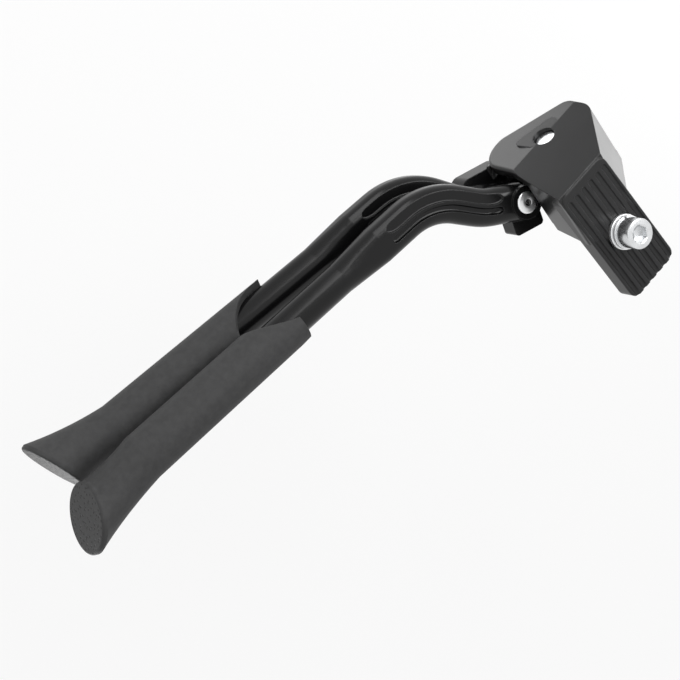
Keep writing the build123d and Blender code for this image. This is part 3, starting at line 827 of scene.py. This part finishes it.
class KICKSTAND_OT_bearings(bpy.types.Operator):
    """Finish the plastic bearings and rubber stops"""

    bl_idname = "kickstand.bearings"
    bl_label = "Bearings and stops"

    def execute(self, context):
        bearing = moulding("Bearing plastic", finish().bearing_colour, rough=0.5)
        rubber = moulding("Stop rubber", finish().stop_colour, rough=0.8)
        dress(
            bearing, "outer_thrust_washer", "inner_thrust_washer", "outer_pivot_bush",
            "inner_pivot_bush", "spring_sleeve", "rivet_bush", "leg_spacer_washer",
        )
        dress(rubber, "fold_stop_sleeve", "down_stop_pad")
        return {"FINISHED"}


def softbox(name, direction, distance, size, power, target=MIDDLE, lights=()):
    """A rectangular lamp aimed at a target; its light may be kept to a few CAD nodes."""
    lamp = bpy.data.lights.new(name, "AREA")
    lamp.shape = "RECTANGLE"
    lamp.size, lamp.size_y = size
    lamp.energy = power
    item = bpy.data.objects.new(name, lamp)
    bpy.context.scene.collection.objects.link(item)
    towards = Vector(direction).normalized()
    item.location = Vector(target) + towards * distance
    item.rotation_euler = (-towards).to_track_quat("-Z", "Y").to_euler()
    item.visible_camera = False
    if lights:
        lit = bpy.data.collections.new(name + " pieces")
        for node in lights:
            lit.objects.link(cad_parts[node])
        item.light_linking.receiver_collection = lit


class KICKSTAND_OT_stage(bpy.types.Operator):
    """Floor, lights and camera"""

    bl_idname = "kickstand.stage"
    bl_label = "Studio"

    def execute(self, context):
        settings = context.scene.kickstand_stage
        bpy.ops.mesh.primitive_plane_add(size=FLOOR_SIZE, location=(0, 0, -settings.floor_drop))
        floor = context.object
        floor.name = "studio_floor"
        floor.data.materials.append(self.floor_material(settings))
        self.world(context.scene)
        self.lamps(settings)
        self.camera(context.scene, settings)
        context.scene.view_settings.view_transform = "Standard"
        return {"FINISHED"}

    def lamps(self, settings):
        softbox(
            "Key softbox", (0.68, 0.18, 0.78), distance=0.9, size=(0.5, 0.5),
            power=settings.key_power,
        )
        softbox(
            "Fill softbox", (-0.45, 0.9, 0.35), distance=1.0, size=(0.7, 0.5),
            power=settings.fill_power,
        )
        softbox(
            "Strip softbox", (0.45, 0.75, 0.5), distance=1.0, size=(0.25, 0.9),
            power=settings.strip_power,
        )
        softbox(
            "Low card", (0.23, 0.65, -0.72), distance=0.29, size=(0.17, 0.17),
            power=settings.low_power, target=HOUSING, lights=("mount_housing", "main_pivot_pin"),
        )
        softbox(
            "Front card", (0.84, -0.43, -0.32), distance=0.45, size=(0.25, 0.25),
            power=settings.front_power, target=HOUSING,
        )
        softbox(
            "Rear card", (-0.5, -0.58, -0.64), distance=0.2, size=(0.12, 0.12),
            power=settings.rear_power, target=FEET,
            lights=("left_foot_sleeve", "right_foot_sleeve"),
        )

    def floor_material(self, settings):
        """Pale floor that keeps the shadow near the object and fades to white further off."""
        material, graph, shader = new_material("Studio floor")
        place = graph.place()
        speckle = graph.noise(place, scale=30.0)
        pale = mottled(graph, speckle, settings.floor_colour, dark=0.99, light=1.0)
        graph.feed(shader["Base Color"], pale)
        shader["Roughness"].default_value = 0.8
        away = graph.node("ShaderNodeVectorMath", operation="LENGTH")
        graph.feed(away.inputs[0], place)
        white = graph.span(away.outputs["Value"], *FLOOR_FADE, *FLOOR_WHITE)
        glow = graph.node("ShaderNodeEmission")
        both = graph.node("ShaderNodeMixShader")
        nodes = material.node_tree.nodes
        graph.feed(both.inputs[0], graph.math("MULTIPLY", self.seen_ray(graph), white))
        graph.feed(both.inputs[1], nodes["Principled BSDF"].outputs[0])
        graph.feed(both.inputs[2], glow.outputs[0])
        graph.feed(nodes["Material Output"].inputs[0], both.outputs[0])
        return material

    def seen_ray(self, graph):
        """1 for rays that show the background: straight, mirrored or through glass."""
        path = graph.node("ShaderNodeLightPath").outputs
        direct = graph.math("ADD", path["Is Camera Ray"], path["Is Glossy Ray"], clamp=True)
        return graph.math("ADD", direct, path["Is Transmission Ray"], clamp=True)

    def world(self, scene):
        world = bpy.data.worlds.new("Studio")
        world.use_nodes = True
        scene.world = world
        graph = Graph(world.node_tree)
        back = world.node_tree.nodes["Background"]
        back.inputs["Color"].default_value = (1, 1, 1, 1)
        strength = graph.span(self.seen_ray(graph), 0.0, 1.0, ROOM_LIGHT, 1.0)
        graph.feed(back.inputs["Strength"], strength)

    def camera(self, scene, settings):
        lens = bpy.data.cameras.new("Photo view")
        lens.lens = settings.lens
        lens.sensor_width = SENSOR_WIDTH
        lens.clip_start = CLIP_START
        view = bpy.data.objects.new("Photo view", lens)
        scene.collection.objects.link(view)
        turn = Matrix((VIEW_RIGHT, VIEW_UP, VIEW_BACK)).transposed().to_4x4()
        view.matrix_world = Matrix.Translation(VIEW_PLACE) @ turn
        scene.camera = view


OPERATORS = (
    KICKSTAND_OT_housing,
    KICKSTAND_OT_legs,
    KICKSTAND_OT_sleeves,
    KICKSTAND_OT_steel,
    KICKSTAND_OT_bolt,
    KICKSTAND_OT_rivet,
    KICKSTAND_OT_spring,
    KICKSTAND_OT_bearings,
    KICKSTAND_OT_stage,
)


class KICKSTAND_PT_panel(bpy.types.Panel):
    """Settings and steps of the kickstand"""

    bl_label = "Kickstand"
    bl_idname = "KICKSTAND_PT_panel"
    bl_space_type = "VIEW_3D"
    bl_region_type = "UI"
    bl_category = "Kickstand"

    def draw(self, context):
        scene = context.scene
        groups = (
            scene.kickstand_finish,
            scene.kickstand_bolt,
            scene.kickstand_rivet,
            scene.kickstand_spring,
            scene.kickstand_stage,
        )
        for settings in groups:
            for name in settings.bl_rna.properties.keys():
                if name not in ("rna_type", "name"):
                    self.layout.prop(settings, name)
        for operator in OPERATORS:
            self.layout.operator(operator.bl_idname)


CLASSES = (
    BoltSettings,
    RivetSettings,
    SpringSettings,
    FinishSettings,
    StageSettings,
    *OPERATORS,
    KICKSTAND_PT_panel,
)


def register():
    for item in CLASSES:
        bpy.utils.register_class(item)
    bpy.types.Scene.kickstand_finish = PointerProperty(type=FinishSettings)
    bpy.types.Scene.kickstand_bolt = PointerProperty(type=BoltSettings)
    bpy.types.Scene.kickstand_rivet = PointerProperty(type=RivetSettings)
    bpy.types.Scene.kickstand_spring = PointerProperty(type=SpringSettings)
    bpy.types.Scene.kickstand_stage = PointerProperty(type=StageSettings)


def unregister():
    del bpy.types.Scene.kickstand_stage
    del bpy.types.Scene.kickstand_spring
    del bpy.types.Scene.kickstand_rivet
    del bpy.types.Scene.kickstand_bolt
    del bpy.types.Scene.kickstand_finish
    for item in reversed(CLASSES):
        bpy.utils.unregister_class(item)


def main():
    register()
    bpy.ops.kickstand.housing()
    bpy.ops.kickstand.legs()
    bpy.ops.kickstand.sleeves()
    bpy.ops.kickstand.steel()
    bpy.ops.kickstand.bolt()
    bpy.ops.kickstand.rivet()
    bpy.ops.kickstand.spring()
    bpy.ops.kickstand.bearings()
    bpy.ops.kickstand.stage()


if __name__ == "__main__":
    main()
